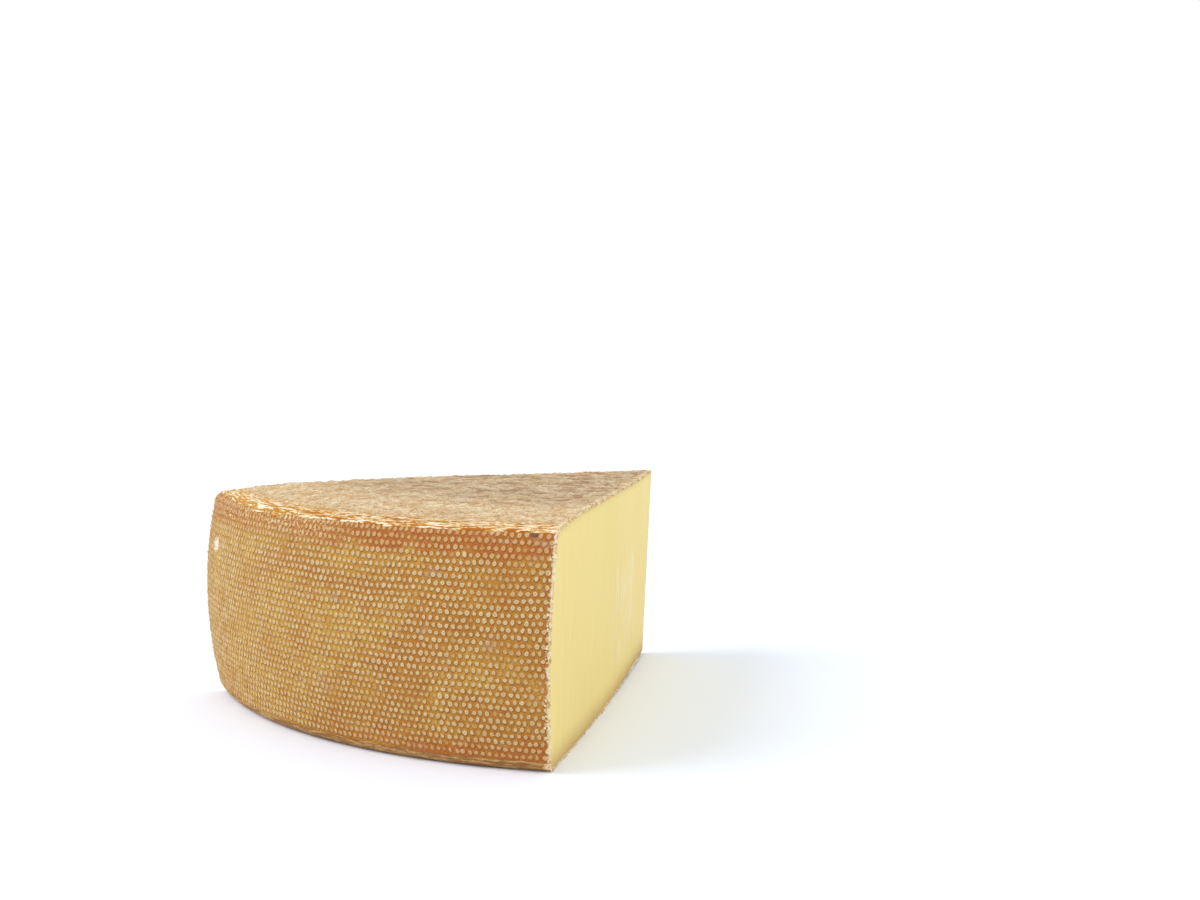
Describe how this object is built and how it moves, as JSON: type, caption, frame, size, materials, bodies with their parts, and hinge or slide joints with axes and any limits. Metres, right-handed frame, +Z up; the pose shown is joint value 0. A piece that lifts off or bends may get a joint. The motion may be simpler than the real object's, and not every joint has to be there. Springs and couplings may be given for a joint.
{
  "type": "mountain cheese wedge",
  "caption": "Wedge cut from a large round of mountain cheese, with a dotted golden rind band, pale rind on its faces and smooth yellow paste at the cuts. Stands on its lower face.",
  "frame": {"origin": "on the floor, under the middle of the piece's box", "axes": "+Z up, +Y from the rounded rind band towards the wedge's point, +X to the right of somebody who faces the band"},
  "size_m": [0.248, 0.2576, 0.11],
  "materials": {
    "paste": "smooth, slightly waxy cut cheese",
    "rind": "dry, dotted, golden brown rind"
  },
  "bodies": {
    "root": {"cheese_wedge": "paste"}
  },
  "joints": []
}
